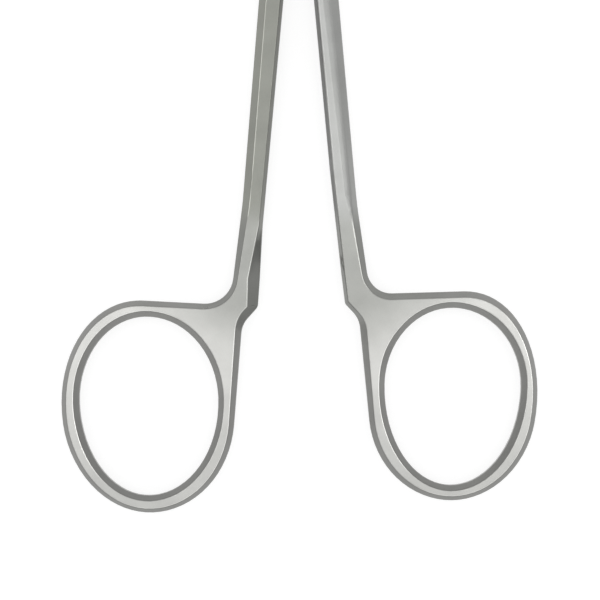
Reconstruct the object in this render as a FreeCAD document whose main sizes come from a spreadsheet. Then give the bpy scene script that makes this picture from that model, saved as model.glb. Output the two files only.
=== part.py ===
import FreeCAD, Part
import Sketcher

import math
import os
import sys

# Molar cutting forceps, 165 mm long: two forged halves crossed in a box lock.
# The forceps lie flat with the jaws towards +Y. The origin is on the pivot axis,
# in the plane of the box's underside. Each half is drawn closed, with its shank
# on the +X side, and is mirrored and turned open about the pivot afterwards.

V = FreeCAD.Vector
UP = V(0, 0, 1)

SIZES = [
    # Opening
    ("rest_angle", 3.5, "each half is turned open by this at rest, degrees"),
    ("full_angle", 50, "angle between the halves at the open stop, degrees"),
    # Box lock
    ("box_thick", 5.6, "thickness over the two cheeks"),
    ("box_radius", 4.6, "radius of the cheeks' round ends"),
    ("box_bevel", 0.8, "width of the bevel along the box's sides"),
    ("slot_thick", 2.4, "height of the slot between the cheeks"),
    ("side_play", 0.05, "running clearance in the slot, each side"),
    ("seam_play", 0.05, "clearance along the seams"),
    ("tongue_half", 2.3, "half width of the tongue in the slot"),
    ("tongue_root_thick", 5.2, "thickness of the tongue half beside the box"),
    ("root_reach", 7.4, "distance from the pivot to the ends of the box"),
    ("root_inner", 0.2, "distance from the centre line to the inner side there"),
    ("root_outer", 3.97, "distance from the centre line to the outer side there"),
    ("root_wall", 1.6, "half height of the upright side wall there"),
    # Pivot pin
    ("pin_radius", 1.2, "radius of the pin"),
    ("pin_play", 0.05, "clearance of the pin in the tongue"),
    ("rivet_radius", 1.5, "radius of the riveted ends"),
    ("rivet_depth", 0.35, "depth of the countersinks for the riveted ends"),
    ("rivet_dome", 0.12, "rise of the upper riveted end"),
    # Shanks between the box and the handles
    ("shank_a_station", 12.5, "distance of the first shank section behind the pivot"),
    ("shank_a_half", 2.42, "its half thickness"),
    ("shank_b_station", 19, "distance of the second shank section behind the pivot"),
    ("shank_b_half", 2.13, "its half thickness"),
    ("handle_station", 26, "distance of the handles' start behind the pivot"),
    ("handle_half", 2.0, "half thickness of the handles"),
    ("handle_wall", 0.75, "half height of the handles' upright side wall"),
    ("finger_bevel", 1.1, "width of the bevel round the finger holes"),
    # Handle of the box half
    ("box_start_in", 0.38, "inner side of the shank at the handle's start"),
    ("box_start_out", 4.3, "outer side of the shank at the handle's start"),
    ("box_bend_in", 2.01, "inner side where the heel facet begins"),
    ("box_bend_in_y", 66.5, "distance of that point behind the pivot"),
    ("box_heel_in", 2.04, "inner side where the heel facet is widest"),
    ("box_heel_in_y", 75.2, "distance of that point behind the pivot"),
    ("box_shoulder_in", 2.12, "inner side at the shoulder"),
    ("box_shoulder_y", 79.6, "distance of the shoulder behind the pivot"),
    ("box_bend_out", 5.38, "outer side where the shank begins to flare"),
    ("box_bend_out_y", 63, "distance of that point behind the pivot"),
    ("box_flare_out", 6.25, "outer side above the neck"),
    ("box_neck_radius", 4.5, "radius between the shank and the ring's top"),
    ("box_neck_lean", 0, "rise of the ring's straight top away from the shank, degrees"),
    ("box_edge_in", 0.48, "bevel width along the inner side"),
    ("box_facet_start", 0.55, "width of the heel facet where it begins"),
    ("box_facet_wide", 1.88, "width of the heel facet at its widest"),
    ("box_facet_end", 1.72, "width of the heel facet at the shoulder"),
    ("box_shoulder_radius", 1.4, "rounding of the shoulder's corner"),
    ("box_slant_bevel", 1.35, "bevel width along the shoulder's slant"),
    ("box_edge_out", 1.1, "bevel width along the outer side"),
    ("box_bend_edge", 1.15, "bevel width where the shank begins to flare"),
    ("box_neck_edge", 0.75, "bevel width above the neck"),
    ("box_ring_x", 19.0, "ring's centre from the centre line"),
    ("box_ring_y", 97.12, "ring's centre behind the pivot"),
    ("box_ring_lean", 11.1, "lean of the ring's outline, degrees"),
    ("box_ring_top", 17.76, "ring's outline from its centre to the top"),
    ("box_ring_bottom", 16.04, "to the bottom"),
    ("box_ring_in", 14.0, "to the inner side"),
    ("box_ring_out", 13.32, "to the outer side"),
    ("box_ring_top_bevel", 1.05, "bevel width along the ring's top"),
    ("box_ring_bevel", 0.98, "bevel width round the rest of the ring"),
    ("box_hole_x", 18.9, "finger hole's centre from the centre line"),
    ("box_hole_y", 95.28, "finger hole's centre behind the pivot"),
    ("box_hole_lean", 4.82, "lean of the finger hole, degrees"),
    ("box_hole_top", 13.27, "finger hole from its centre to the top"),
    ("box_hole_bottom", 15.1, "to the bottom"),
    ("box_hole_in", 11.28, "to the inner side"),
    ("box_hole_out", 10.78, "to the outer side"),
    # Handle of the tongue half
    ("tongue_start_in", 0.42, "inner side of the shank at the handle's start"),
    ("tongue_start_out", 4.35, "outer side of the shank at the handle's start"),
    ("tongue_bend_in", 1.15, "inner side where the shank turns outwards"),
    ("tongue_bend_in_y", 58, "distance of that point behind the pivot"),
    ("tongue_heel_in", 1.8, "inner side above the shoulder"),
    ("tongue_heel_in_y", 74.5, "distance of that point behind the pivot"),
    ("tongue_shoulder_in", 2.05, "inner side at the shoulder"),
    ("tongue_shoulder_y", 79.2, "distance of the shoulder behind the pivot"),
    ("tongue_bend_out", 5.05, "outer side where the shank begins to flare"),
    ("tongue_bend_out_y", 63.5, "distance of that point behind the pivot"),
    ("tongue_flare_out", 5.93, "outer side above the neck"),
    ("tongue_neck_radius", 3.9, "radius between the shank and the ring's top"),
    ("tongue_neck_lean", -2.4, "rise of the ring's straight top away from the shank, degrees"),
    ("tongue_edge_in", 0.55, "bevel width along the inner side"),
    ("tongue_facet_start", 0.45, "bevel width where the shank turns outwards"),
    ("tongue_facet_wide", 0.5, "bevel width above the shoulder"),
    ("tongue_facet_end", 0.5, "bevel width at the shoulder"),
    ("tongue_shoulder_radius", 0.8, "rounding of the shoulder's corner"),
    ("tongue_slant_bevel", 0.55, "bevel width along the shoulder's slant"),
    ("tongue_edge_out", 2.1, "bevel width along the outer side"),
    ("tongue_bend_edge", 1.1, "bevel width where the shank begins to flare"),
    ("tongue_neck_edge", 0.85, "bevel width above the neck"),
    ("tongue_ring_x", 18.26, "ring's centre from the centre line"),
    ("tongue_ring_y", 96.95, "ring's centre behind the pivot"),
    ("tongue_ring_lean", 14.8, "lean of the ring's outline, degrees"),
    ("tongue_ring_top", 18.7, "ring's outline from its centre to the top"),
    ("tongue_ring_bottom", 14.71, "to the bottom"),
    ("tongue_ring_in", 13.62, "to the inner side"),
    ("tongue_ring_out", 12.88, "to the outer side"),
    ("tongue_ring_top_bevel", 1.15, "bevel width along the ring's top"),
    ("tongue_ring_bevel", 1.0, "bevel width round the rest of the ring"),
    ("tongue_hole_x", 18.07, "finger hole's centre from the centre line"),
    ("tongue_hole_y", 93.34, "finger hole's centre behind the pivot"),
    ("tongue_hole_lean", 5.5, "lean of the finger hole, degrees"),
    ("tongue_hole_top", 12.32, "finger hole from its centre to the top"),
    ("tongue_hole_bottom", 15.82, "to the bottom"),
    ("tongue_hole_in", 10.7, "to the inner side"),
    ("tongue_hole_out", 10.96, "to the outer side"),
    # Shared by the two handles
    ("flare_y", 75, "distance behind the pivot at which the flare is measured"),
    ("bend_radius", 60, "radius where the outer side begins to flare"),
    ("slant_angle", 51, "fall of the shoulder's slant, degrees"),
    ("slant_radius", 4, "radius between the slant and the ring"),
    ("inside_lean", 1.6, "lean of the ring's straight inner side, degrees"),
    # Jaws
    ("jaw_play", 0.03, "distance from the centre line to a cutting edge"),
    ("beak_a_station", 15, "distance of the first jaw section ahead of the pivot"),
    ("beak_a_in", 0.75, "its inner side"),
    ("beak_a_out", 3.95, "its outer side"),
    ("beak_a_half", 2.42, "its half thickness"),
    ("beak_b_station", 24, "distance of the second jaw section"),
    ("beak_b_in", 1.15, "its inner side"),
    ("beak_b_out", 3.85, "its outer side"),
    ("beak_b_half", 2.15, "its half thickness"),
    ("beak_c_station", 33, "distance of the third jaw section"),
    ("beak_c_in", 1.2, "its inner side"),
    ("beak_c_out", 3.62, "its outer side"),
    ("beak_c_half", 1.95, "its half thickness"),
    ("beak_wall", 0.9, "half height of the jaws' upright side wall"),
    ("beak_bevel_in", 0.45, "bevel width along the jaws' inner side"),
    ("beak_bevel_out", 0.9, "bevel width along the jaws' outer side"),
    ("throat_station", 40, "distance of the throat behind the cutting heads"),
    ("throat_in", 0.95, "inner side at the throat"),
    ("throat_out", 3.35, "outer side at the throat"),
    ("throat_half", 1.85, "half thickness at the throat"),
    ("head_station", 43.2, "start of the cutting edges ahead of the pivot"),
    ("head_out", 3.2, "outer side there"),
    ("head_half", 1.8, "half thickness there"),
    ("edge_flat", 0.04, "half height of the cutting edge's flat"),
    ("edge_bevel", 1.5, "width of the ground faces behind the cutting edge"),
    ("nose_station", 49.4, "where the heads begin to close to their points"),
    ("nose_out", 2.45, "outer side there"),
    ("nose_half", 1.55, "half thickness there"),
    ("nose_bevel", 1.25, "width of the ground faces there"),
    ("tip_station", 52, "length of the jaws ahead of the pivot"),
    ("tip_out", 1.6, "outer side at the tips"),
    ("tip_half", 0.95, "half thickness at the tips"),
    ("tip_bevel", 0.65, "width of the ground faces and bevels at the tips"),
]

DERIVED = [
    ("middle", "=box_thick / 2", "height of the middle plane"),
    ("seam_distance", "=box_radius + seam_play", "distance of the tongue half's seams from the pivot"),
    ("seam_corner_y", "=seam_distance * sqrt(2) - root_inner",
     "distance behind the pivot at which a seam meets the inner side"),
    ("tongue_lean",
     "=asin(tongue_half / hypot(root_inner; seam_corner_y)) + atan2(root_inner; seam_corner_y)",
     "lean of the tongue that brings its edge to that point"),
]

doc = FreeCAD.newDocument("molar_cutting_forceps")
sheet = doc.addObject("Spreadsheet::Sheet", "Sizes")
for row, (alias, value, note) in enumerate(SIZES + DERIVED, start=1):
    sheet.set(f"A{row}", alias)
    sheet.set(f"B{row}", str(value))
    sheet.set(f"C{row}", note)
    sheet.setAlias(f"B{row}", alias)
doc.recompute()


def size(name):
    """Value of a cell, in millimetres or degrees."""
    value = sheet.get(name)
    return float(getattr(value, "Value", value))


def measured(expression):
    """Number that an expression on the sheet gives."""
    value = sheet.evalExpression(expression)
    return float(getattr(value, "Value", value))


def polar(distance, angle):
    """Point at a distance from the pivot, at an angle in degrees from +X."""
    return V(distance * math.cos(math.radians(angle)), distance * math.sin(math.radians(angle)))


# Outlines in plan

def meet(first, second):
    """Point where two lines cross, each given as a point and a direction."""
    (p, d), (q, e) = first, second
    along = (q - p).cross(e).z / d.cross(e).z
    return p + d * along


def inset_line(start, end, start_width, end_width):
    """The line from start to end, moved to its left by a width at each end."""
    left = UP.cross(end - start).normalize()
    start = start + left * start_width
    end = end + left * end_width
    return start, end - start


def shifted_line(start, end, start_shift, end_shift):
    """The line from start to end, moved along X by a distance at each end."""
    start = start + V(start_shift, 0)
    end = end + V(end_shift, 0)
    return start, end - start


def line_edge(start, end):
    return Part.LineSegment(start, end).toShape()


def rounded_path(points, radii):
    """Edges through the points, with a tangent arc at each point that has a radius."""
    edges = []
    last = points[0]
    for before, corner, after, radius in zip(points, points[1:], points[2:], radii[1:]):
        if radius == 0:
            edges.append(line_edge(last, corner))
            last = corner
            continue
        back = (before - corner).normalize()
        ahead = (after - corner).normalize()
        half_angle = back.getAngle(ahead) / 2
        reach = radius / math.tan(half_angle)
        centre = corner + (back + ahead).normalize() * (radius / math.sin(half_angle))
        middle = centre + (corner - centre).normalize() * radius
        start = corner + back * reach
        end = corner + ahead * reach
        edges.append(line_edge(last, start))
        edges.append(Part.Arc(start, middle, end).toShape())
        last = end
    edges.append(line_edge(last, points[-1]))
    return edges


class Oval:
    """A leaning oval of four quarter ellipses, each with its own half width."""

    def __init__(self, half, name, top_inset=0.0, inset=0.0):
        self.centre = V(size(f"{half}_{name}_x"), -size(f"{half}_{name}_y"))
        self.lean = math.radians(size(f"{half}_{name}_lean"))
        self.top = size(f"{half}_{name}_top") - top_inset
        self.bottom = size(f"{half}_{name}_bottom") - inset
        self.inner = size(f"{half}_{name}_in") - inset
        self.outer = size(f"{half}_{name}_out") - inset
        self.upward = V(math.sin(self.lean), math.cos(self.lean))
        self.outward = V(math.cos(self.lean), -math.sin(self.lean))

    def axes(self, turn):
        """Half widths outwards and upwards in the quarter that holds a turn in radians."""
        across = self.outer if math.cos(turn) > 0 else self.inner
        along = self.top if math.sin(turn) > 0 else self.bottom
        return across, along

    def arcs(self, first, last):
        """Exact arcs from one turn to another, counter-clockwise, cut at the quarters."""
        quarter = math.pi / 2
        stops = [first]
        step = math.floor(first / quarter) + 1
        while step * quarter < last - 1e-9:
            stops.append(step * quarter)
            step += 1
        stops.append(last)
        edges = []
        for start, end in zip(stops, stops[1:]):
            across, along = self.axes((start + end) / 2)
            weight = math.cos((end - start) / 2)
            poles = []
            for turn, stretch in ((start, 1), ((start + end) / 2, 1 / weight), (end, 1)):
                poles.append(self.centre + self.outward * (across * math.cos(turn) * stretch)
                             + self.upward * (along * math.sin(turn) * stretch))
            curve = Part.BSplineCurve()
            curve.buildFromPolesMultsKnots(poles, [3, 3], [0, 1], False, 2, [1, weight, 1])
            edges.append(curve.toShape())
        return edges

    def point(self, turn):
        across, along = self.axes(turn)
        return (self.centre + self.outward * (across * math.cos(turn))
                + self.upward * (along * math.sin(turn)))

    def inside_turn(self, lean):
        """Turn at which the outline's inner side leans by an angle in radians."""
        return math.pi + math.atan(self.bottom / self.inner * math.tan(self.lean + lean))

    def top_turn(self, lean):
        """Turn at which the outline's top leans by an angle in radians."""
        return 2 * math.pi + math.pi / 2 + math.atan(self.inner / self.top * math.tan(self.lean + lean))


def handle_outline(half, land):
    """Outline of a handle from its start to its ring: the side wall's, or the flat land's."""
    def at(name_x, name_y):
        return V(size(name_x), -size(name_y))

    def width(name):
        return size(f"{half}_{name}") if land else 0.0

    def corner_radius(name, grown):
        return max(size(name) + grown, 0.1)

    start_in = at(f"{half}_start_in", "handle_station")
    bend_in = at(f"{half}_bend_in", f"{half}_bend_in_y")
    heel_in = at(f"{half}_heel_in", f"{half}_heel_in_y")
    shoulder = at(f"{half}_shoulder_in", f"{half}_shoulder_y")
    start_out = at(f"{half}_start_out", "handle_station")
    bend_out = at(f"{half}_bend_out", f"{half}_bend_out_y")
    flare_out = at(f"{half}_flare_out", "flare_y")
    slant = polar(1, -size("slant_angle"))
    lean = math.radians(size("inside_lean"))
    ring = Oval(half, "ring", width("ring_top_bevel"), width("ring_bevel"))
    inside_turn = ring.inside_turn(lean)
    neck_lean = math.radians(size(f"{half}_neck_lean"))
    top_turn = ring.top_turn(neck_lean)

    start_line = (start_in, V(1, 0))
    upper_in = shifted_line(start_in, bend_in, width("edge_in"), width("facet_start"))
    facet = inset_line(bend_in, heel_in, width("facet_start"), width("facet_wide"))
    heel = inset_line(heel_in, shoulder, width("facet_wide"), width("facet_end"))
    slant_line = inset_line(shoulder, shoulder + slant, width("slant_bevel"), width("slant_bevel"))
    inside = (ring.point(inside_turn), V(-math.sin(lean), math.cos(lean)))
    neck = (ring.point(top_turn), V(math.cos(neck_lean), math.sin(neck_lean)))
    lower_out = inset_line(flare_out, bend_out, width("neck_edge"), width("bend_edge"))
    upper_out = shifted_line(bend_out, start_out, -width("bend_edge"), -width("edge_out"))

    down = [
        meet(start_line, upper_in),
        meet(upper_in, facet),
        meet(facet, heel),
        meet(heel, slant_line),
        meet(slant_line, inside),
        ring.point(inside_turn),
    ]
    down_radii = [0, 0, 0, corner_radius(f"{half}_shoulder_radius", -width("slant_bevel")),
                  corner_radius("slant_radius", width("slant_bevel")), 0]
    up = [
        ring.point(top_turn),
        meet(neck, lower_out),
        meet(lower_out, upper_out),
        meet(upper_out, start_line),
    ]
    up_radii = [0, corner_radius(f"{half}_neck_radius", width("ring_top_bevel")),
                corner_radius("bend_radius", width("bend_edge")), 0]
    edges = rounded_path(down, down_radii)
    edges += ring.arcs(inside_turn, top_turn)
    edges += rounded_path(up, up_radii)
    edges.append(line_edge(up[-1], down[0]))
    return edges


def hole_outline(half, land):
    """Outline of a finger hole at the side wall, or at the flat land beyond its bevel."""
    grown = -size("finger_bevel") if land else 0.0
    return Oval(half, "hole", grown, grown).arcs(0, 2 * math.pi)


# Solids with a flat land above and below and bevels round an upright wall

def bevelled_plate(wall_edges, land_edges, half_thick, half_wall):
    sections = []
    for edges, level in ((land_edges, -half_thick), (wall_edges, -half_wall),
                         (wall_edges, half_wall), (land_edges, half_thick)):
        wire = Part.Wire(edges)
        wire.translate(V(0, 0, size("middle") + level))
        sections.append(wire)
    return Part.makeLoft(sections, True, True)


def add_feature(name, shape):
    feature = doc.addObject("Part::Feature", name)
    feature.Shape = shape
    return feature


def handle_blank(half):
    """Handle of one half: the shank's lower run and the finger ring round its hole."""
    plate = bevelled_plate(handle_outline(half, False), handle_outline(half, True),
                           size("handle_half"), size("handle_wall"))
    hole = bevelled_plate(hole_outline(half, False), hole_outline(half, True),
                          size("handle_half"), size("handle_wall"))
    return add_feature(f"{half}_handle", plate.cut(hole))


def box_block():
    """Block of the box: full thickness, bounded by two seams and two round ends.

    Drawn with the shank at the lower left and the jaw at the upper right."""
    radius = size("box_radius")
    reach = size("root_reach")
    root = V(size("root_outer"), reach)
    tangent = (math.degrees(math.atan2(root.y, root.x))
               - math.degrees(math.acos(radius / root.Length)))

    def outline(bevel):
        def half_turn(point):
            return V(-point.x, -point.y)

        land = radius - bevel
        root_x = (land - reach * math.sin(math.radians(tangent))) / math.cos(math.radians(tangent))
        inner = size("root_inner")
        crotch = V(-inner, -inner - radius * math.sqrt(2))
        foot = polar(radius, -45)
        arc_middle = polar(radius - bevel / 2, (tangent - 45) / 2)
        arc_end = polar(land, tangent)
        side = [V(-inner, -reach), crotch, foot, arc_middle, arc_end, V(root_x, reach), V(inner, reach)]
        edges = []
        for move in (lambda point: point, half_turn):
            start, corner, low, middle, high, tip, inside = [move(point) for point in side]
            edges.append(line_edge(start, corner))
            edges.append(line_edge(corner, low))
            edges.append(Part.Arc(low, middle, high).toShape())
            edges.append(line_edge(high, tip))
            edges.append(line_edge(tip, inside))
        return edges

    plate = bevelled_plate(outline(0.0), outline(size("box_bevel")),
                           size("box_thick") / 2, size("root_wall"))
    return add_feature("box_block", plate), tangent


def tongue_blocks():
    """The two roots of the tongue half: behind the rear seam and ahead of the front one."""
    inner = size("root_inner")
    reach = size("root_reach")
    seam = size("seam_distance") * math.sqrt(2)

    def outline(bevel):
        outer = size("root_outer") - bevel
        corners = [V(inner, -reach), V(outer, -reach), V(outer, outer - seam), V(inner, inner - seam)]
        return [line_edge(a, b) for a, b in zip(corners, corners[1:] + corners[:1])]

    rear = bevelled_plate(outline(0.0), outline(size("box_bevel")),
                          size("tongue_root_thick") / 2, size("root_wall"))
    front = rear.copy()
    front.rotate(V(0, 0, 0), UP, 180)
    return [add_feature("tongue_rear_root", rear), add_feature("tongue_front_root", front)]


# Eight-sided sections across a shank or jaw, and the lofts through them

def section_sketch(name, station, inner, outer, half, wall, bevel_in, bevel_out):
    """Section at a station along Y. Every size is an expression on the sheet."""
    sketch = doc.addObject("Sketcher::SketchObject", name)
    sketch.Placement = FreeCAD.Placement(V(0, 0, 0), FreeCAD.Rotation(V(1, 0, 0), 90))
    sketch.setExpression("Placement.Base.y", station)
    sketch.setExpression("Placement.Base.z", "Sizes.middle")
    upper = [(1.0, 1.0), (2.0, 2.0), (3.0, 2.0), (4.0, 1.0)]
    corners = upper + [(x, -z) for x, z in reversed(upper)]
    count = len(corners)
    for index, (x, z) in enumerate(corners):
        next_x, next_z = corners[(index + 1) % count]
        sketch.addGeometry(Part.LineSegment(V(x, z, 0), V(next_x, next_z, 0)), False)
    for index in range(count):
        sketch.addConstraint(Sketcher.Constraint("Coincident", index, 2, (index + 1) % count, 1))
    for index in range(4):
        sketch.addConstraint(Sketcher.Constraint("Symmetric", index, 1, count - 1 - index, 1, -1))
    across = [inner, f"{inner} + {bevel_in}", f"{outer} - {bevel_out}", outer]
    upward = [wall, half, half, wall]
    for index in range(4):
        x, z = corners[index]
        for kind, value, expression in (("DistanceX", x, across[index]), ("DistanceY", z, upward[index])):
            number = sketch.addConstraint(Sketcher.Constraint(kind, -1, 1, index, 1, value))
            sketch.setExpression(f"Constraints[{number}]", expression)
    return sketch


def add_loft(name, sections, ruled):
    loft = doc.addObject("Part::Loft", name)
    loft.Sections = sections
    loft.Solid = True
    loft.Ruled = ruled
    return loft


def shank_loft(half, root_half, root_bevel):
    """Shank between the box and the handle, thinning towards the handle."""
    bevels = ("Sizes.handle_wall", f"Sizes.{half}_edge_in", f"Sizes.{half}_edge_out")
    start = f"Sizes.{half}_start"
    root_in = "Sizes.root_inner"
    root_out = "Sizes.root_outer"

    def between(first, last, station):
        run = "(Sizes.handle_station - Sizes.root_reach)"
        share = f"(Sizes.{station} - Sizes.root_reach) / {run}"
        return f"({first} + ({last} - {first}) * {share})"

    sections = [section_sketch(f"{half}_shank_root", "-Sizes.root_reach", root_in, root_out,
                               root_half, "Sizes.root_wall", "0 * Sizes.root_wall", root_bevel)]
    for letter in ("a", "b"):
        station = f"shank_{letter}_station"
        sections.append(section_sketch(
            f"{half}_shank_{letter}", f"-Sizes.{station}",
            between(root_in, f"{start}_in", station), between(root_out, f"{start}_out", station),
            f"Sizes.shank_{letter}_half", between("Sizes.root_wall", bevels[0], station),
            between("0 * Sizes.root_wall", bevels[1], station), between(root_bevel, bevels[2], station)))
    sections.append(section_sketch(f"{half}_shank_end", "-Sizes.handle_station",
                                   f"{start}_in", f"{start}_out", "Sizes.handle_half", *bevels))
    return add_loft(f"{half}_shank", sections, False)


def jaw_lofts(half, root_half, root_bevel):
    """Jaw of one half: a bowed beak and a cutting head with a sharp edge on the centre line."""
    bevels = ("Sizes.beak_wall", "Sizes.beak_bevel_in", "Sizes.beak_bevel_out")
    sections = [section_sketch(f"{half}_jaw_root", "Sizes.root_reach", "Sizes.root_inner",
                               "Sizes.root_outer", root_half, "Sizes.root_wall",
                               "0 * Sizes.root_wall", root_bevel)]
    for name in ("beak_a", "beak_b", "beak_c", "throat"):
        sections.append(section_sketch(f"{half}_{name}", f"Sizes.{name}_station", f"Sizes.{name}_in",
                                       f"Sizes.{name}_out", f"Sizes.{name}_half", *bevels))
    beak = add_loft(f"{half}_beak", sections, False)
    stages = [sections[-1]]
    for name, bevel in (("head", "edge_bevel"), ("nose", "nose_bevel"), ("tip", "tip_bevel")):
        back = "Sizes.tip_bevel" if name == "tip" else "Sizes.beak_bevel_out"
        sketch = section_sketch(f"{half}_{name}", f"Sizes.{name}_station", "Sizes.jaw_play",
                                f"Sizes.{name}_out", f"Sizes.{name}_half", "Sizes.edge_flat",
                                f"Sizes.{bevel}", back)
        stages.append(sketch)
    return [beak, add_loft(f"{half}_cutting_head", stages, True)]


def mirrored(source):
    """The same piece on the other side of the centre line."""
    mirror = doc.addObject("Part::Mirroring", f"{source.Name}_mirrored")
    mirror.Source = source
    mirror.Normal = V(1, 0, 0)
    return mirror


def fused(name, pieces):
    fusion = doc.addObject("Part::MultiFuse", name)
    fusion.Shapes = pieces
    fusion.Refine = True
    return fusion


def cut(name, base, tool):
    result = doc.addObject("Part::Cut", name)
    result.Base = base
    result.Tool = tool
    return result


# Tools of the box lock

def pivot_bar(name, half_width, thick, angle):
    """A bar through the pivot, across the box. At an angle of 0 it runs along Y."""
    bar = doc.addObject("Part::Box", name)
    bar.Placement = FreeCAD.Placement(V(0, 0, 0), FreeCAD.Rotation(UP, 1))
    bar.setExpression("Length", f"2 * ({half_width})")
    bar.setExpression("Width", "4 * Sizes.root_reach")
    bar.setExpression("Height", thick)
    bar.setExpression("Placement.Rotation.Angle", angle)
    side = f"({half_width})"
    end = "(2 * Sizes.root_reach)"
    bar.setExpression("Placement.Base.x", f"{end} * sin({angle}) - {side} * cos({angle})")
    bar.setExpression("Placement.Base.y", f"-{end} * cos({angle}) - {side} * sin({angle})")
    bar.setExpression("Placement.Base.z", f"Sizes.middle - ({thick}) / 2")
    return bar


def round_tool(name, radius, bottom, height):
    tool = doc.addObject("Part::Cylinder", name)
    tool.setExpression("Radius", radius)
    tool.setExpression("Height", height)
    tool.setExpression("Placement.Base.z", bottom)
    return tool


def countersink(name, lower, upper, bottom):
    tool = doc.addObject("Part::Cone", name)
    tool.setExpression("Radius1", lower)
    tool.setExpression("Radius2", upper)
    tool.setExpression("Height", "Sizes.rivet_depth")
    tool.setExpression("Placement.Base.z", bottom)
    return tool


def turned_open(piece, name, direction):
    """Names a finished half and turns it open about the pivot, 1 to the left, -1 to the right."""
    piece.Label = name
    piece.Placement = FreeCAD.Placement(V(0, 0, 0), FreeCAD.Rotation(UP * direction, 1))
    piece.setExpression("Placement.Rotation.Angle", "Sizes.rest_angle * 1 deg")
    return piece


# The half with the box: shank on the left, jaw on the right

def box_half():
    root_half = "Sizes.box_thick / 2"
    block, tangent = box_block()
    root_bevel = f"Sizes.box_bevel / cos({tangent!r} * 1 deg)"
    blank = fused("box_blank", [mirrored(handle_blank("box")),
                                mirrored(shank_loft("box", root_half, root_bevel)),
                                block] + jaw_lofts("box", root_half, root_bevel))
    lean = "Sizes.tongue_lean"
    slot_width = "Sizes.tongue_half + Sizes.side_play"
    slot = fused("slot", [
        pivot_bar("slot_closed", slot_width, "Sizes.slot_thick", lean),
        pivot_bar("slot_open", slot_width, "Sizes.slot_thick", f"({lean} + Sizes.full_angle * 1 deg)"),
    ])
    bore = fused("rivet_bore", [
        round_tool("bore", "Sizes.pin_radius", "0 * Sizes.middle", "Sizes.box_thick"),
        countersink("lower_sink", "Sizes.rivet_radius", "Sizes.pin_radius", "0 * Sizes.middle"),
        countersink("upper_sink", "Sizes.pin_radius", "Sizes.rivet_radius",
                    "Sizes.box_thick - Sizes.rivet_depth"),
    ])
    slotted = cut("box_slotted", blank, slot)
    return turned_open(cut("box_finished", slotted, bore), "box_half", -1)


# The half with the tongue: shank on the right, jaw on the left

def tongue_half():
    root_half = "Sizes.tongue_root_thick / 2"
    root_bevel = "Sizes.box_bevel"
    thick = "Sizes.slot_thick - 2 * Sizes.side_play"
    tongue = doc.addObject("Part::Common", "tongue")
    tongue.Base = pivot_bar("tongue_bar", "Sizes.tongue_half", thick, "Sizes.tongue_lean")
    tongue.Tool = pivot_bar("seam_band", "Sizes.seam_distance", "Sizes.slot_thick", "(-45 deg)")
    jaw = [mirrored(loft) for loft in jaw_lofts("tongue", root_half, root_bevel)]
    blank = fused("tongue_blank", [handle_blank("tongue"), shank_loft("tongue", root_half, root_bevel),
                                   tongue] + tongue_blocks() + jaw)
    hole = round_tool("pivot_hole", "Sizes.pin_radius + Sizes.pin_play", "0 * Sizes.middle",
                      "Sizes.box_thick")
    return turned_open(cut("tongue_finished", blank, hole), "tongue_half", 1)


# The pin, pressed through both cheeks and riveted at its ends

def pivot_pin():
    """Pin with flared ends: flush below, slightly domed above."""
    body = doc.addObject("PartDesign::Body", "pin_body")
    body.Label = "pivot_pin"
    sketch = body.newObject("Sketcher::SketchObject", "pin_profile")
    plane = [face for face in body.Origin.OriginFeatures if face.Role == "XZ_Plane"][0]
    sketch.AttachmentSupport = [(plane, "")]
    sketch.MapMode = "FlatFace"
    corners = [("0 * Sizes.rivet_radius", "0 * Sizes.box_thick"),
               ("Sizes.rivet_radius", "0 * Sizes.box_thick"),
               ("Sizes.pin_radius", "Sizes.rivet_depth"),
               ("Sizes.pin_radius", "Sizes.box_thick - Sizes.rivet_depth"),
               ("Sizes.rivet_radius", "Sizes.box_thick")]
    points = [V(measured(across), measured(upward)) for across, upward in corners]
    rise = size("rivet_dome")
    top = V(0, points[-1].y + rise)
    dome_radius = (points[-1].x ** 2 + rise ** 2) / (2 * rise)
    dome_centre = V(0, top.y - dome_radius)
    halfway = dome_centre + ((points[-1] + top) / 2 - dome_centre).normalize() * dome_radius
    for start, end in zip(points, points[1:]):
        sketch.addGeometry(Part.LineSegment(start, end), False)
    dome = sketch.addGeometry(Part.Arc(points[-1], halfway, top), False)
    axis = sketch.addGeometry(Part.LineSegment(top, points[0]), False)
    for index in range(3):
        sketch.addConstraint(Sketcher.Constraint("Coincident", index, 2, index + 1, 1))
    sketch.addConstraint(Sketcher.Constraint("Coincident", dome, 1, 3, 2))
    sketch.addConstraint(Sketcher.Constraint("Coincident", dome, 2, axis, 1))
    sketch.addConstraint(Sketcher.Constraint("Coincident", axis, 2, 0, 1))
    sketch.addConstraint(Sketcher.Constraint("Coincident", 0, 1, -1, 1))
    sketch.addConstraint(Sketcher.Constraint("Horizontal", 0))
    sketch.addConstraint(Sketcher.Constraint("Vertical", axis))
    sketch.addConstraint(Sketcher.Constraint("PointOnObject", dome, 3, axis))

    def fix(kind, geometry, end, value, expression):
        """Ties the end of a line to a size, measured from the origin."""
        number = sketch.addConstraint(Sketcher.Constraint(kind, -1, 1, geometry, end, value))
        sketch.setExpression(f"Constraints[{number}]", expression)

    fix("DistanceX", 0, 2, points[1].x, corners[1][0])
    for index in (1, 2, 3):
        point = points[index + 1]
        across, upward = corners[index + 1]
        fix("DistanceX", index, 2, point.x, across)
        fix("DistanceY", index, 2, point.y, upward)
    fix("DistanceY", axis, 1, top.y, "Sizes.box_thick + Sizes.rivet_dome")
    turned = body.newObject("PartDesign::Revolution", "pin_turned")
    turned.Profile = sketch
    turned.ReferenceAxis = (sketch, ["V_Axis"])
    turned.Angle = 360
    return body


pieces = [box_half(), tongue_half(), pivot_pin()]
doc.recompute()

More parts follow.
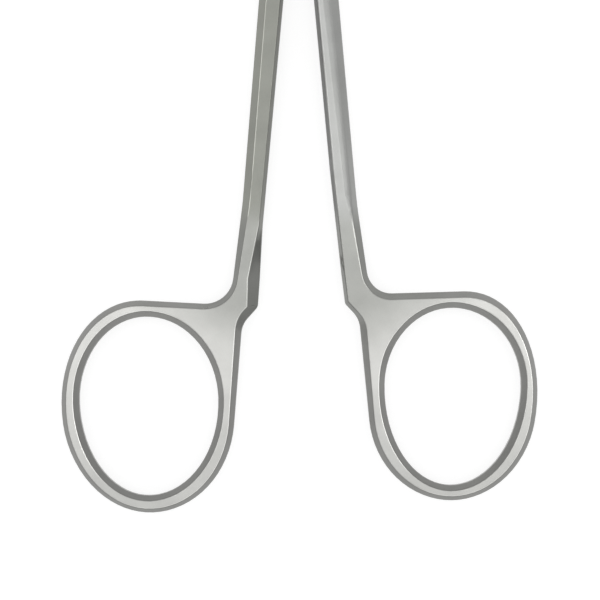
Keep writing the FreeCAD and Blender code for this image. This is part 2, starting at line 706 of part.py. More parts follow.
failed = [item.Name for item in doc.Objects
          if "Invalid" in item.State or "Error" in item.State]
for piece in pieces:
    shape = piece.Shape
    if shape.isNull() or not shape.isValid() or len(shape.Solids) != 1:
        failed.append(piece.Label)
if failed:
    print("failed:", ", ".join(failed))
    sys.exit(1)

os.makedirs("parts", exist_ok=True)
for piece in pieces:
    piece.Shape.exportStep(f"parts/{piece.Label}.step")
    print(f"{piece.Label}: {piece.Shape.Volume:.1f} mm3, {len(piece.Shape.Faces)} faces")
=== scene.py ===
import math

import bmesh
import bpy
from bpy.props import FloatProperty, FloatVectorProperty, IntProperty, PointerProperty
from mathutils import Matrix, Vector


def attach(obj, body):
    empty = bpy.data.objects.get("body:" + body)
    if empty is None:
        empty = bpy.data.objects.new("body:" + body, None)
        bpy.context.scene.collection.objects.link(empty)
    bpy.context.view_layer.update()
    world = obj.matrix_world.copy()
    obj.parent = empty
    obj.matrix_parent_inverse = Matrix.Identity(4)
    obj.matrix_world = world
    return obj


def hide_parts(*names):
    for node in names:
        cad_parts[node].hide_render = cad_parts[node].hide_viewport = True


bl_info = {
    "name": "Molar Cutting Forceps",
    "version": (1, 0, 0),
    "blender": (4, 5, 0),
    "location": "View3D > Sidebar > Forceps",
    "description": "Satin steel forceps with softened ridges, on a pale studio floor",
    "category": "Object",
}

# The instrument lies flat with its jaws towards +Y and its pivot on the Z axis.
# The box half carries the ring on the left, the tongue half the ring on the right.

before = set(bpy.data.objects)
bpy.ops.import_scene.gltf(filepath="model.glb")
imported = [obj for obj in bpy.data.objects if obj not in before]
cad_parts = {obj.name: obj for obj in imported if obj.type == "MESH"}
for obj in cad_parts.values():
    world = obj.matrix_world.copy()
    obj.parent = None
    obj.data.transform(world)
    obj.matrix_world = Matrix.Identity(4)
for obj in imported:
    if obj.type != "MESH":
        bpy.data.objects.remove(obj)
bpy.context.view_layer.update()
MM = 0.001

# Distances and angles within which the mesh tools take two things as one
NEAR = 0.001 * MM
SAME_PLACE = 0.0005 * MM
ON_THE_CUT = 1e-5 * MM
SMALLEST_EDGE = 0.06 * MM
FLAT_ANGLE = math.radians(0.6)
STRIP_ANGLE = math.radians(15.0)

# Along Y: strips across the shanks and the step between them, the heels, and the edge of the box
BOX_STRIPS = (-60.5 * MM, -9.5 * MM)
TONGUE_STRIPS = (-72.5 * MM, -9.5 * MM)
STRIP_STEP = 1.5 * MM
STRIP_END = (-10.0 * MM, -9.0 * MM)
HEEL = (-76.0 * MM, -62.0 * MM)
BOX_EDGE = -8.0 * MM

# A corner within this many ridge widths of a ridge is in the way of its softening
CLEAR_WIDTHS = 2.5

# Zones of a finger ring: distances outwards along X, then below the pivot along Y
WEB_SIDE = (11.0 * MM, 16.0 * MM)
RING_TOP = (76.0 * MM, 79.0 * MM)
RING_MIDDLE = (84.0 * MM, 92.0 * MM)
RING_LOWER_END = (102.0 * MM, 111.0 * MM)

# How upright a surface's normal stands: 1 on the flat lands, 0 on the side walls
LAND_LEAST = 0.99
BEVEL_HEIGHTS = (0.3, 0.9)
DOME_LEAST = 0.75
# Heights between which the steel's painted shade and painted ridge highlights change
WALL_HEIGHTS = (0.1, 0.3)
STEEP_HEIGHTS = (0.35, 0.5)
BEVEL_FADE = (0.80, 0.98)
PAST_BEVEL = (0.86, 0.92)
BEFORE_LAND = (0.985, 0.999)

# Which way the painted highlight on the ridges leans: towards the right or the left, and towards the
# rings' lower ends
HIGHLIGHT_RIGHT = 0.8
HIGHLIGHT_LEFT = -1.0
HIGHLIGHT_DOWN = -0.6
HIGHLIGHT_FADE = (0.0, 0.1)

# Random patterns of the finish: their spread and sizes, and what they do to shade, roughness and relief
NOISE_SPREAD = (0.3, 0.7)
CLOUD_SIZE = 5.0 * MM
CLOUD_DETAIL = 3.0
CLOUD_SHADES = (0.94, 1.05)
MARK_DETAIL = 2.0
MARK_STRETCH = (1.0, 0.12, 1.0)
MARK_SHADES = (0.96, 1.04)
ROUGHER = 0.05
SMOOTHER = 0.04
BUMP_STRENGTH = 0.35

# Floor: its size in metres, its paper, and the share of glow in what the camera sees of it
FLOOR_SIZE = 6.0
PAPER_WHITE = (0.9, 0.9, 0.9, 1.0)
WHITE_SHARE = 0.6

# Rectangular soft lights that face one point, and the camera's nearest distance, in metres
LIGHT_AIM = (0.0, -0.07, 0.0)
OVERHEAD_PLACE = (0.0, 0.06, 0.9)
OVERHEAD_SIZE = (0.66, 0.66)
STRIP_LIGHT_OUT = 0.44
STRIP_LIGHT_HEIGHT = 0.85
STRIP_LIGHT_SIZE = (0.1, 0.8)
NEAREST_SEEN = 0.01


# Settings

class RidgeSettings(bpy.types.PropertyGroup):
    """How far the ground ridges of the two halves are softened."""

    least_angle: FloatProperty(
        name="Least Angle", description="Edges that turn by more than this are ridges",
        default=math.radians(20), subtype="ANGLE")
    width: FloatProperty(
        name="Ridge Width", description="Width of the softening at each side of a ridge",
        default=0.16 * MM, min=0.0, unit="LENGTH")
    dome_width: FloatProperty(
        name="Dome Width", description="Width of the round on the outside of the right shank",
        default=0.85 * MM, min=0.0, unit="LENGTH")
    inner_width: FloatProperty(
        name="Inner Width", description="Width of the round on the inside of the right shank",
        default=0.35 * MM, min=0.0, unit="LENGTH")
    dome_start: FloatProperty(
        name="Dome Start", description="Place along Y at which the round begins below the box",
        default=-11.0 * MM, unit="LENGTH")
    dome_spread: FloatProperty(
        name="Dome Spread", description="Length over which the round grows to its full width",
        default=7.0 * MM, min=0.0, unit="LENGTH")
    dome_full: FloatProperty(
        name="Dome Full", description="Place along Y down to which the round has its full width",
        default=-58.0 * MM, unit="LENGTH")
    dome_end: FloatProperty(
        name="Dome End", description="Place along Y at which the round has become a crisp ridge",
        default=-70.0 * MM, unit="LENGTH")
    segments: IntProperty(
        name="Segments", description="Faces across a softened ridge", default=4, min=1)
    land_growth: FloatProperty(
        name="Land Growth", description="How far polishing has widened a ring's land at each side",
        default=0.2 * MM, min=0.0, unit="LENGTH")
    foot_growth: FloatProperty(
        name="Foot Growth", description="How much further the land is widened at the ring's lower end",
        default=0.1 * MM, min=0.0, unit="LENGTH")


class SteelSettings(bpy.types.PropertyGroup):
    """Finish of the stainless steel, with its painted shade and painted highlights."""

    ring_colour: FloatVectorProperty(
        name="Ring Colour", description="Steel of the finger rings and the webs beside them",
        default=(0.56, 0.56, 0.54), subtype="COLOR", min=0.0, max=1.0)
    neck_colour: FloatVectorProperty(
        name="Neck Colour", description="Steel of the necks above the finger rings",
        default=(0.352, 0.356, 0.338), subtype="COLOR", min=0.0, max=1.0)
    left_shank_colour: FloatVectorProperty(
        name="Left Shank Colour", description="Steel of the box half's shank",
        default=(0.263, 0.268, 0.243), subtype="COLOR", min=0.0, max=1.0)
    right_shank_colour: FloatVectorProperty(
        name="Right Shank Colour", description="Steel of the tongue half's shank",
        default=(0.445, 0.45, 0.438), subtype="COLOR", min=0.0, max=1.0)
    pin_colour: FloatVectorProperty(
        name="Pin Colour", description="Steel of the pivot pin",
        default=(0.52, 0.52, 0.50), subtype="COLOR", min=0.0, max=1.0)
    shank_start: FloatProperty(
        name="Shank Start", description="Place along Y above which the shank's finish is full",
        default=-62.5 * MM, unit="LENGTH")
    neck_start: FloatProperty(
        name="Neck Start", description="Place along Y at which the neck's finish is full",
        default=-68.0 * MM, unit="LENGTH")
    web_slope: FloatProperty(
        name="Web Slope", description="How far the finish shifts along Y for each step outwards",
        default=0.55, min=0.0)
    neck_end: FloatProperty(
        name="Neck End", description="Place along the web from which the neck's finish fades",
        default=-83.0 * MM, unit="LENGTH")
    ring_start: FloatProperty(
        name="Ring Start", description="Place along the web below which the ring's finish is full",
        default=-96.0 * MM, unit="LENGTH")
    # Painted shade towards the rings' lower ends
    foot_start: FloatProperty(
        name="Foot Start", description="Place along Y below which the rings darken",
        default=-84.0 * MM, unit="LENGTH")
    ring_foot: FloatProperty(
        name="Ring Foot", description="Place along Y of the rings' lower ends",
        default=-111.0 * MM, unit="LENGTH")
    foot_shade: FloatProperty(
        name="Foot Shade", description="Brightness of the rings' lower ends beside that of their tops",
        default=0.86, min=0.0, max=1.0, subtype="FACTOR")
    # Painted highlight on the softened ridges
    ridge_painted_highlight: FloatProperty(
        name="Ridge Painted Highlight", description="How much brighter the worn ridges are than the faces beside them",
        default=0.8, min=0.0)
    # Painted shade on the round of the right shank, where the value is below zero
    dome_painted_shade: FloatProperty(
        name="Dome Painted Shade", description="How much brighter the round of the right shank is than its top",
        default=-0.2, min=-1.0)
    roughness: FloatProperty(
        name="Roughness", description="Roughness of the satin finish", default=0.32,
        min=0.0, max=1.0, subtype="FACTOR")
    # Painted shading by facing: how much darker or lighter the bevels, steep sides and side walls are made
    # than the lands
    ring_bevel_painted_shading: FloatProperty(
        name="Ring Bevel", description="Brightness of the rings' bevels beside that of their lands",
        default=0.455, min=0.0)
    neck_bevel_painted_shading: FloatProperty(
        name="Neck Bevel", description="Brightness of the necks' bevels beside that of their lands",
        default=0.64, min=0.0)
    left_shank_bevel_painted_shading: FloatProperty(
        name="Left Shank Bevel", description="Brightness of the left shank's bevels beside its land",
        default=1.06, min=0.0)
    right_shank_bevel_painted_shading: FloatProperty(
        name="Right Shank Bevel", description="Brightness of the right shank's bevels beside its land",
        default=0.78, min=0.0)
    steep_shade: FloatProperty(
        name="Steep Shade", description="Brightness of the rings' steepest sides beside their bevels",
        default=1.0, min=0.0)
    wall_shade: FloatProperty(
        name="Wall Shade", description="Brightness of the upright side walls beside the steep sides",
        default=1.35, min=0.0)
    left_shank_steep_painted_shade: FloatProperty(
        name="Left Shank Steep", description="Brightness of the left shank's steepest sides",
        default=0.55, min=0.0)
    right_shank_steep_painted_shade: FloatProperty(
        name="Right Shank Steep", description="Brightness of the right shank's steepest sides",
        default=0.38, min=0.0)
    grain_size: FloatProperty(
        name="Grain Size", description="Width of the finest grinding marks",
        default=0.06 * MM, min=0.001 * MM, unit="LENGTH")
    grain_depth: FloatProperty(
        name="Grain Depth", description="Depth of the grinding marks in the surface",
        default=0.002 * MM, min=0.0, unit="LENGTH")


class StudioSettings(bpy.types.PropertyGroup):
    """Camera, lights and floor."""

    aim_x: FloatProperty(
        name="Aim X", description="Place under the camera along X", default=-0.27 * MM, unit="LENGTH")
    aim_y: FloatProperty(
        name="Aim Y", description="Place under the camera along Y", default=-78.26 * MM, unit="LENGTH")
    view_width: FloatProperty(
        name="View Width", description="Width of the picture at the level of the outline",
        default=95.24 * MM, unit="LENGTH")
    view_level: FloatProperty(
        name="View Level", description="Height of the outline's upper edge above the floor",
        default=3.55 * MM, unit="LENGTH")
    roll: FloatProperty(
        name="Roll", description="Turn of the camera about its line of sight",
        default=math.radians(-0.56), subtype="ANGLE")
    lens: FloatProperty(name="Lens", description="Focal length in millimetres", default=150.0)
    overhead: FloatProperty(
        name="Overhead Light", description="Power of the soft light above, in watts",
        default=0.34, min=0.0)
    strip: FloatProperty(
        name="Strip Lights", description="Power of each strip light beside it, in watts",
        default=0.6, min=0.0)
    world: FloatProperty(
        name="World", description="Strength of the grey surroundings", default=0.8, min=0.0)
    floor_white: FloatProperty(
        name="Floor White", description="Strength of the white that the camera sees on the floor",
        default=1.27, min=0.0)


class ForcepsSettings(bpy.types.PropertyGroup):
    """Everything that can be changed about the dressed instrument."""

    ridges: PointerProperty(type=RidgeSettings, name="Ridges", description="Softened ridges")
    steel: PointerProperty(type=SteelSettings, name="Steel", description="Finish of the steel")
    studio: PointerProperty(type=StudioSettings, name="Studio", description="Camera, lights and floor")


# Node helpers

def add_node(tree, kind, name, feeds=None, **values):
    """A node with its properties set, and its inputs fed by values or by other nodes' outputs."""
    node = tree.nodes.new(kind)
    node.name = node.label = name
    for key, value in values.items():
        setattr(node, key, value)
    for socket, feed in (feeds or {}).items():
        if isinstance(feed, bpy.types.NodeSocket):
            tree.links.new(feed, node.inputs[socket])
        else:
            node.inputs[socket].default_value = feed
    return node


def calculate(tree, name, operation, *terms):
    """The result of one Math node, whose terms are numbers or other nodes' outputs."""
    return add_node(tree, "ShaderNodeMath", name, dict(enumerate(terms)), operation=operation).outputs[0]


def blend(tree, name, kind, share, first, second):
    """A number or colour that is the first at a share of 0 and the second at 1."""
    feeds = {"Factor": share, "A": first, "B": second}
    return add_node(tree, "ShaderNodeMix", name, feeds, data_type=kind).outputs["Result"]


def ramp(tree, name, source, ends, low, high):
    """A value that goes softly from low to high while its source goes from one end to the other."""
    first, last = ends
    feeds = {"Value": source, "From Min": first, "From Max": last, "To Min": low, "To Max": high}
    node = add_node(tree, "ShaderNodeMapRange", name, feeds, interpolation_type="SMOOTHSTEP")
    return node.outputs["Result"]


def axes(tree, name, vector):
    """The X, Y and Z of a vector, by name."""
    return add_node(tree, "ShaderNodeSeparateXYZ", name, {0: vector}).outputs


# Softened ridges

def ridge_tree(material, inputs):
    """Geometry Nodes that weigh each edge by how wide its ridge is softened."""
    tree = bpy.data.node_groups.new("Ridge Softening", "GeometryNodeTree")
    tree.interface.new_socket("Geometry", in_out="OUTPUT", socket_type="NodeSocketGeometry")
    tree.interface.new_socket("Geometry", in_out="INPUT", socket_type="NodeSocketGeometry")
    for name in inputs:
        tree.interface.new_socket(name, in_out="INPUT", socket_type="NodeSocketFloat")
    sizes = add_node(tree, "NodeGroupInput", "Sizes").outputs

    turn = add_node(tree, "GeometryNodeInputMeshEdgeAngle", "Turn At Edge").outputs["Unsigned Angle"]
    is_ridge = calculate(tree, "Is Ridge", "GREATER_THAN", turn, sizes["Least Angle"])
    place = axes(tree, "Place Axes", add_node(tree, "GeometryNodeInputPosition", "Place").outputs[0])
    facing = axes(tree, "Facing Axes", add_node(tree, "GeometryNodeInputNormal", "Facing").outputs[0])

    # The round is wide outside and narrow inside, grows below the box and ends at the neck
    faces_out = calculate(tree, "Faces Outward", "GREATER_THAN", facing["X"], 0.0)
    full = blend(tree, "Full Share", "FLOAT", faces_out, sizes["Inner Share"], sizes["Dome Share"])
    grown_at = calculate(tree, "Grown At", "SUBTRACT", sizes["Dome Start"], sizes["Dome Spread"])
    growth = ramp(tree, "Dome Growth", place["Y"], (sizes["Dome Start"], grown_at),
                  sizes["Ridge Share"], full)
    taper = ramp(tree, "Dome Taper", place["Y"], (sizes["Dome End"], sizes["Dome Full"]),
                 sizes["Ridge Share"], growth)

    height = calculate(tree, "Facing Height", "ABSOLUTE", facing["Z"])
    beside_land = calculate(tree, "Beside The Land", "GREATER_THAN", height, DOME_LEAST)
    on_shank = calculate(tree, "On The Shank", "LESS_THAN", place["Y"], BOX_EDGE)
    on_dome = calculate(tree, "On The Dome", "MULTIPLY", beside_land, on_shank)
    width = blend(tree, "Width", "FLOAT", on_dome, sizes["Ridge Share"], taper)
    weight = calculate(tree, "Weight", "MULTIPLY", is_ridge, width)

    store = add_node(tree, "GeometryNodeStoreNamedAttribute", "Ridge Weights",
                     {"Geometry": sizes["Geometry"], "Name": "bevel_weight_edge", "Value": weight},
                     data_type="FLOAT", domain="EDGE")
    plain = add_node(tree, "GeometryNodeRealizeInstances", "Plain Mesh", {0: store.outputs["Geometry"]})
    dress = add_node(tree, "GeometryNodeSetMaterial", "Steel",
                     {"Geometry": plain.outputs[0], "Material": material})
    add_node(tree, "NodeGroupOutput", "Result", {"Geometry": dress.outputs["Geometry"]})
    return tree


def soften_ridges(piece, settings, material, domed):
    """Weighs the ridges in Geometry Nodes, keeps the result, and bevels by those weights."""
    widest = settings.dome_width if domed else settings.width
    ridge_share = settings.width / widest
    inputs = {
        "Least Angle": settings.least_angle,
        "Ridge Share": ridge_share,
        "Inner Share": settings.inner_width / widest if domed else ridge_share,
        "Dome Share": 1.0 if domed else ridge_share,
        "Dome Start": settings.dome_start,
        "Dome Spread": settings.dome_spread,
        "Dome Full": settings.dome_full,
        "Dome End": settings.dome_end,
    }
    modifier = piece.modifiers.new("Ridge Softening", "NODES")
    modifier.node_group = ridge_tree(material, inputs)
    for item in modifier.node_group.interface.items_tree:
        if item.in_out == "INPUT" and item.name in inputs:
            modifier[item.identifier] = inputs[item.name]
    ready = piece.evaluated_get(bpy.context.evaluated_depsgraph_get())
    mesh = bpy.data.meshes.new_from_object(ready)
    piece.modifiers.remove(modifier)
    piece.data = mesh

    bevel = piece.modifiers.new("Softened Ridges", "BEVEL")
    bevel.limit_method = "WEIGHT"
    bevel.offset_type = "OFFSET"
    bevel.width = widest
    bevel.segments = settings.segments
    bevel.use_clamp_overlap = False
    bevel.harden_normals = True
    bevel.loop_slide = True


# Steel

def noise(tree, name, place, size, detail):
    """A random pattern whose spots are about as large as the size given."""
    feeds = {"Vector": place, "Scale": 1.0 / size, "Detail": detail}
    return add_node(tree, "ShaderNodeTexNoise", name, feeds).outputs["Fac"]


def spread(tree, name, pattern, low, high):
    """A random pattern spread evenly from low to high."""
    first, last = NOISE_SPREAD
    feeds = {"Value": pattern, "From Min": first, "From Max": last, "To Min": low, "To Max": high}
    return add_node(tree, "ShaderNodeMapRange", name, feeds).outputs["Result"]


def steel_material(name, settings, shank_colour, shank_bevel_painted_shading, shank_steep_painted_shade, shank_painted_ridge_light, painted_highlight_side):
    """Satin steel: fine grinding marks, painted shade that darkens the bevels, painted highlights on the
    ridges, and a tone that changes from ring to neck to shank.
    """
    material = bpy.data.materials.new(name)
    material.use_nodes = True
    tree = material.node_tree
    tree.nodes.clear()
    coords = add_node(tree, "ShaderNodeTexCoord", "Place").outputs["Object"]
    place = axes(tree, "Place Axes", coords)
    normal = add_node(tree, "ShaderNodeNewGeometry", "Facing").outputs["Normal"]
    facing = axes(tree, "Facing Axes", normal)
    height = calculate(tree, "Facing Height", "ABSOLUTE", facing["Z"])
    outward = calculate(tree, "Outward", "ABSOLUTE", place["X"])
    web = calculate(tree, "Along The Web", "MULTIPLY_ADD", outward, -settings.web_slope, place["Y"])

    def to_shank(name, low, high):
        """A value that goes from the neck's to the shank's."""
        return ramp(tree, name, place["Y"], (settings.neck_start, settings.shank_start), low, high)

    def to_neck(name, low, high):
        """A value that goes from the ring's to the neck's."""
        return ramp(tree, name, web, (settings.ring_start, settings.neck_end), low, high)

    upper = blend(tree, "Neck To Shank", "RGBA", to_shank("Shank Zone", 0.0, 1.0),
                  (*settings.neck_colour, 1.0), (*shank_colour, 1.0))
    tone = blend(tree, "Ring To Neck", "RGBA", to_neck("Neck Zone", 0.0, 1.0),
                 (*settings.ring_colour, 1.0), upper)
    # Painted shade: the rings darker towards their lower ends
    foot_painted_shade = ramp(tree, "Foot Zone", place["Y"], (settings.ring_foot, settings.foot_start),
                settings.foot_shade, 1.0)

    # Broad, faint cloudiness of the polish, and fine marks drawn out along the shank
    clouds = noise(tree, "Cloudiness", coords, CLOUD_SIZE, CLOUD_DETAIL)
    cloud_shade = spread(tree, "Cloud Range", clouds, *CLOUD_SHADES)
    drawn_out = add_node(tree, "ShaderNodeMapping", "Along The Shank",
                         {"Vector": coords, "Scale": MARK_STRETCH}).outputs["Vector"]
    marks = noise(tree, "Grinding Marks", drawn_out, settings.grain_size, MARK_DETAIL)
    mark_shade = spread(tree, "Mark Range", marks, *MARK_SHADES)

    # Painted shade by how upright a face stands: bevels and steep sides darker, upright side walls lighter
    steep = ramp(tree, "Steep Sides", height, STEEP_HEIGHTS,
                 to_shank("Steep Zone", settings.steep_shade, shank_steep_painted_shade), 1.0)
    wall = ramp(tree, "Side Walls", height, WALL_HEIGHTS, settings.wall_shade, 1.0)
    neck_bevel_painted_shading = to_neck("Neck Bevel Zone", settings.ring_bevel_painted_shading, settings.neck_bevel_painted_shading)
    bevel = ramp(tree, "Bevels", height, BEVEL_FADE, to_shank("Bevel Zone", neck_bevel_painted_shading, shank_bevel_painted_shading), 1.0)

    # Painted highlight on one side of the softened ridges: the right of the rings, the shank's given side
    past_bevel = ramp(tree, "Past The Bevel", height, PAST_BEVEL, 0.0, 1.0)
    before_land = ramp(tree, "Before The Land", height, BEFORE_LAND,
                       to_shank("Painted Highlight Zone", settings.ridge_painted_highlight, shank_painted_ridge_light), 0.0)
    sideways = calculate(tree, "Sideways", "MULTIPLY", facing["X"],
                         to_shank("Worn Side", HIGHLIGHT_RIGHT, painted_highlight_side))
    towards_highlight = calculate(tree, "Towards The Painted Highlight", "MULTIPLY_ADD", facing["Y"], HIGHLIGHT_DOWN, sideways)
    highlit_side = ramp(tree, "On The Worn Side", towards_highlight, HIGHLIGHT_FADE, 0.0, 1.0)
    on_ridge = calculate(tree, "On The Ridge", "MULTIPLY", past_bevel, highlit_side)
    painted_ridge_light = calculate(tree, "Ridge Painted Highlight", "MULTIPLY_ADD", on_ridge, before_land, 1.0)

    shade = mark_shade
    for name, part in (("Clouded", cloud_shade), ("Painted Wall Light", wall), ("Steep", steep),
                       ("Painted Bevel Shade", bevel), ("Painted Foot Shade", foot_painted_shade), ("Highlit", painted_ridge_light)):
        shade = calculate(tree, name, "MULTIPLY", shade, part)
    colour = add_node(tree, "ShaderNodeVectorMath", "Steel Colour",
                      {0: tone, "Scale": shade}, operation="SCALE").outputs[0]
    base = add_node(tree, "ShaderNodeVectorMath", "At Most White",
                    {0: colour, 1: (1.0, 1.0, 1.0)}, operation="MINIMUM").outputs[0]
    satin = spread(tree, "Satin", marks, settings.roughness - SMOOTHER, settings.roughness + ROUGHER)
    relief = add_node(tree, "ShaderNodeBump", "Mark Depth",
                      {"Strength": BUMP_STRENGTH, "Distance": settings.grain_depth, "Height": marks})
    shader = add_node(tree, "ShaderNodeBsdfPrincipled", "Steel",
                      {"Metallic": 1.0, "Base Color": base, "Roughness": satin,
                       "Normal": relief.outputs["Normal"]})
    add_node(tree, "ShaderNodeOutputMaterial", "Output", {"Surface": shader.outputs[0]})
    return material


# Halves

def cut_across(work, first, last, step):
    """Divides the long faces between two places along Y, so that they lie in square strips."""
    stations = [first + step * index for index in range(round((last - first) / step) + 1)]
    for station in stations:
        everything = work.verts[:] + work.edges[:] + work.faces[:]
        bmesh.ops.bisect_plane(work, geom=everything, dist=ON_THE_CUT,
                               plane_co=(0.0, station, 0.0), plane_no=(0.0, 1.0, 0.0))

    def lies_across(edge):
        start, end = (corner.co.y for corner in edge.verts)
        return abs(start - end) < NEAR and min(abs(start - station) for station in stations) < NEAR

    def is_loose(edge):
        inside = all(first - NEAR < corner.co.y < last + NEAR for corner in edge.verts)
        return inside and not lies_across(edge) and edge.calc_face_angle() < STRIP_ANGLE

    loose = [edge for edge in work.edges if is_loose(edge)]
    bmesh.ops.dissolve_edges(work, edges=loose, use_verts=True)


def smooth_step(value, first, last):
    """0 at first, 1 at last and soft between."""
    share = min(max((value - first) / (last - first), 0.0), 1.0)
    return share * share * (3.0 - 2.0 * share)


def land_growth_at(place, settings):
    """How far a ring's land is widened at a place: not in the web, most at the lower end."""
    outside = smooth_step(abs(place.x), *WEB_SIDE)
    below = smooth_step(-place.y, *RING_MIDDLE)
    in_ring = smooth_step(-place.y, *RING_TOP)
    share = in_ring * (1.0 - (1.0 - outside) * (1.0 - below))
    return share * settings.land_growth + smooth_step(-place.y, *RING_LOWER_END) * settings.foot_growth


def widen_lands(work, settings):
    """Moves the ridges of the finger rings outwards over their bevels, as polishing does."""
    lowest, highest = BEVEL_HEIGHTS
    moves = []
    for corner in work.verts:
        lands = [face for face in corner.link_faces if abs(face.normal.z) > LAND_LEAST]
        bevels = [face for face in corner.link_faces if lowest < abs(face.normal.z) < highest]
        if lands and bevels:
            across = sum((Vector((face.normal.x, face.normal.y, 0.0)) for face in bevels), Vector())
            moves.append((corner, across.normalized() * land_growth_at(corner.co, settings)))
    for corner, move in moves:
        corner.co += move


def clear_beside_ridges(work, first, last, settings):
    """Dissolves the corners, between two places along Y, that are in the way of a ridge's softening."""
    def is_ridge(edge):
        return edge.calc_face_angle() > settings.least_angle

    def is_close(corner, edge):
        start, end = (tip.co for tip in edge.verts)
        run = end - start
        share = min(max((corner.co - start).dot(run) / run.length_squared, 0.0), 1.0)
        return (corner.co - start - run * share).length < CLEAR_WIDTHS * settings.width

    close = []
    for corner in work.verts:
        if first < corner.co.y < last and not any(is_ridge(edge) for edge in corner.link_edges):
            ridges = [edge for face in corner.link_faces for edge in face.edges if is_ridge(edge)]
            if any(is_close(corner, edge) for edge in ridges):
                close.append(corner)
    bmesh.ops.dissolve_verts(work, verts=close)


def merged_copy(node, name, strips, clear_end, settings):
    """A copy of a CAD node as one closed mesh with plain flat faces."""
    mesh = node.data.copy()
    mesh.name = name
    work = bmesh.new()
    work.from_mesh(mesh)
    bmesh.ops.remove_doubles(work, verts=work.verts, dist=SAME_PLACE)
    bmesh.ops.dissolve_limit(work, angle_limit=FLAT_ANGLE, verts=work.verts,
                             edges=work.edges, use_dissolve_boundaries=False, delimit=set())
    work.normal_update()
    widen_lands(work, settings)
    clear_beside_ridges(work, *HEEL, settings)
    cut_across(work, *strips, STRIP_STEP)
    if clear_end:
        clear_beside_ridges(work, *STRIP_END, settings)
    bmesh.ops.remove_doubles(work, verts=work.verts, dist=SMALLEST_EDGE)
    bmesh.ops.recalc_face_normals(work, faces=work.faces)
    for face in work.faces:
        face.smooth = True
    work.to_mesh(mesh)
    work.free()
    for layer in ("custom_normal", "sharp_edge", "sharp_face"):
        if layer in mesh.attributes:
            mesh.attributes.remove(mesh.attributes[layer])
    piece = bpy.data.objects.new(name, mesh)
    bpy.context.scene.collection.objects.link(piece)
    return piece


def dressed_half(name, material, strips, clear_end, domed):
    """One half, with softened ridges and its steel, in place of its CAD node."""
    settings = bpy.context.scene.forceps.ridges
    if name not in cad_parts:
        raise RuntimeError(f"the frame has no node named {name}")
    piece = merged_copy(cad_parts[name], f"{name}_finished", strips, clear_end, settings)
    soften_ridges(piece, settings, material, domed)
    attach(piece, name)
    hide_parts(name)


class FORCEPS_OT_box_half(bpy.types.Operator):
    """Dress the half with the box: left ring and shank, right jaw"""

    bl_idname = "forceps.box_half"
    bl_label = "Box Half"

    def execute(self, context):
        steel = context.scene.forceps.steel
        material = steel_material(
            "Satin Steel, Box Half", steel, shank_colour=steel.left_shank_colour,
            shank_bevel_painted_shading=steel.left_shank_bevel_painted_shading, shank_steep_painted_shade=steel.left_shank_steep_painted_shade,
            shank_painted_ridge_light=steel.ridge_painted_highlight, painted_highlight_side=HIGHLIGHT_LEFT)
        dressed_half("box_half", material, BOX_STRIPS, clear_end=True, domed=False)
        return {"FINISHED"}


class FORCEPS_OT_tongue_half(bpy.types.Operator):
    """Dress the half with the tongue: right ring and shank, left jaw"""

    bl_idname = "forceps.tongue_half"
    bl_label = "Tongue Half"

    def execute(self, context):
        steel = context.scene.forceps.steel
        # The right shank gets painted shade on its round in place of a painted ridge highlight
        material = steel_material(
            "Satin Steel, Tongue Half", steel, shank_colour=steel.right_shank_colour,
            shank_bevel_painted_shading=steel.right_shank_bevel_painted_shading, shank_steep_painted_shade=steel.right_shank_steep_painted_shade,
            shank_painted_ridge_light=steel.dome_painted_shade, painted_highlight_side=HIGHLIGHT_RIGHT)
        dressed_half("tongue_half", material, TONGUE_STRIPS, clear_end=False, domed=True)
        return {"FINISHED"}


class FORCEPS_OT_pivot_pin(bpy.types.Operator):
    """Give the riveted pivot pin its steel"""

    bl_idname = "forceps.pivot_pin"
    bl_label = "Pivot Pin"

    def execute(self, context):
        steel = context.scene.forceps.steel
        material = steel_material(
            "Riveted Steel", steel, shank_colour=steel.pin_colour, shank_bevel_painted_shading=steel.neck_bevel_painted_shading,
            shank_steep_painted_shade=steel.steep_shade, shank_painted_ridge_light=0.0, painted_highlight_side=HIGHLIGHT_RIGHT)
        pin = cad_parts["pivot_pin"]
        pin.data.materials.clear()
        pin.data.materials.append(material)
        return {"FINISHED"}


# Studio

def floor_material(white):
    """Pale floor that the camera and reflections see as white, with the shadow kept."""
    material = bpy.data.materials.new("Pale Floor")
    material.use_nodes = True
    tree = material.node_tree
    tree.nodes.clear()
    paper = add_node(tree, "ShaderNodeBsdfDiffuse", "Paper", {"Color": PAPER_WHITE})
    glow = add_node(tree, "ShaderNodeEmission", "White", {"Strength": white})
    rays = add_node(tree, "ShaderNodeLightPath", "Seen By").outputs
    mirrored = calculate(tree, "Or Mirrored", "MAXIMUM", rays["Is Camera Ray"], rays["Is Glossy Ray"])
    seen = calculate(tree, "Or Through Glass", "MAXIMUM", mirrored, rays["Is Transmission Ray"])
    share = calculate(tree, "White Share", "MULTIPLY", seen, WHITE_SHARE)
    floor = add_node(tree, "ShaderNodeMixShader", "Floor",
                     {"Fac": share, 1: paper.outputs[0], 2: glow.outputs[0]})
    add_node(tree, "ShaderNodeOutputMaterial", "Output", {"Surface": floor.outputs[0]})
    return material


def grey_surroundings(strength):
    """Even grey light from all round, white where the camera looks straight at it."""
    world = bpy.data.worlds.new("Grey Surroundings")
    world.use_nodes = True
    tree = world.node_tree
    rays = add_node(tree, "ShaderNodeLightPath", "Seen By").outputs
    level = add_node(tree, "ShaderNodeMapRange", "Level",
                     {"Value": rays["Is Camera Ray"], "To Min": strength, "To Max": 1.0})
    background = tree.nodes["Background"]
    background.inputs["Color"].default_value = (1.0, 1.0, 1.0, 1.0)
    tree.links.new(level.outputs["Result"], background.inputs["Strength"])
    return world


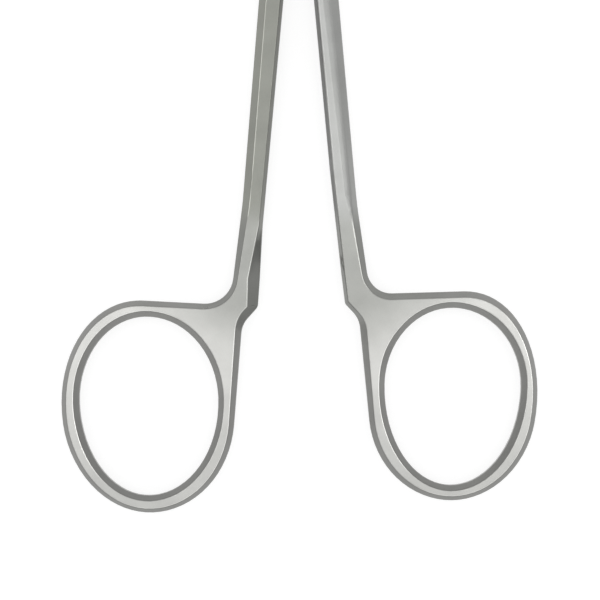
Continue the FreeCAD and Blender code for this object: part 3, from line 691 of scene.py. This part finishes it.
def add_soft_light(name, place, size, power):
    """A rectangular soft light that faces the instrument."""
    lamp = bpy.data.lights.new(name, "AREA")
    lamp.shape = "RECTANGLE"
    lamp.size, lamp.size_y = size
    lamp.energy = power
    light = bpy.data.objects.new(name, lamp)
    light.location = place
    light.rotation_euler = (Vector(LIGHT_AIM) - Vector(place)).to_track_quat("-Z", "Y").to_euler()
    bpy.context.scene.collection.objects.link(light)


def add_camera(settings):
    """The camera straight above, as high as its lens needs for the width of the picture."""
    lens = bpy.data.cameras.new("Camera")
    lens.lens = settings.lens
    lens.clip_start = NEAREST_SEEN
    height = settings.view_width * settings.lens / lens.sensor_width
    camera = bpy.data.objects.new("Camera", lens)
    camera.location = (settings.aim_x, settings.aim_y, settings.view_level + height)
    camera.rotation_euler = (0.0, 0.0, settings.roll)
    bpy.context.scene.collection.objects.link(camera)
    bpy.context.scene.camera = camera


class FORCEPS_OT_studio(bpy.types.Operator):
    """Set up the floor, the soft lights, the grey surroundings and the camera"""

    bl_idname = "forceps.studio"
    bl_label = "Studio"

    def execute(self, context):
        studio = context.scene.forceps.studio
        bpy.ops.mesh.primitive_plane_add(size=FLOOR_SIZE)
        floor = context.active_object
        floor.name = "floor"
        floor.data.materials.append(floor_material(studio.floor_white))

        add_soft_light("Overhead", OVERHEAD_PLACE, OVERHEAD_SIZE, studio.overhead)
        for name, side in (("Left Strip", -1.0), ("Right Strip", 1.0)):
            place = (side * STRIP_LIGHT_OUT, 0.0, STRIP_LIGHT_HEIGHT)
            add_soft_light(name, place, STRIP_LIGHT_SIZE, studio.strip)
        context.scene.world = grey_surroundings(studio.world)
        add_camera(studio)
        context.scene.view_settings.view_transform = "Standard"
        return {"FINISHED"}


class FORCEPS_PT_sidebar(bpy.types.Panel):
    """Sidebar list of the instrument's pieces and settings"""

    bl_idname = "FORCEPS_PT_sidebar"
    bl_label = "Molar Cutting Forceps"
    bl_space_type = "VIEW_3D"
    bl_region_type = "UI"
    bl_category = "Forceps"

    def draw(self, context):
        settings = context.scene.forceps
        for operator in PIECES:
            self.layout.operator(operator.bl_idname)
        for group in (settings.ridges, settings.steel, settings.studio):
            box = self.layout.box()
            for name in group.__annotations__:
                box.prop(group, name)


PIECES = (FORCEPS_OT_box_half, FORCEPS_OT_tongue_half, FORCEPS_OT_pivot_pin, FORCEPS_OT_studio)
CLASSES = (RidgeSettings, SteelSettings, StudioSettings, ForcepsSettings, *PIECES, FORCEPS_PT_sidebar)


def register():
    for item in CLASSES:
        bpy.utils.register_class(item)
    bpy.types.Scene.forceps = PointerProperty(type=ForcepsSettings)


def unregister():
    del bpy.types.Scene.forceps
    for item in reversed(CLASSES):
        bpy.utils.unregister_class(item)


def main():
    """Registers the add-on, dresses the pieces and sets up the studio."""
    register()
    bpy.ops.forceps.box_half()
    bpy.ops.forceps.tongue_half()
    bpy.ops.forceps.pivot_pin()
    bpy.ops.forceps.studio()


if __name__ == "__main__":
    main()
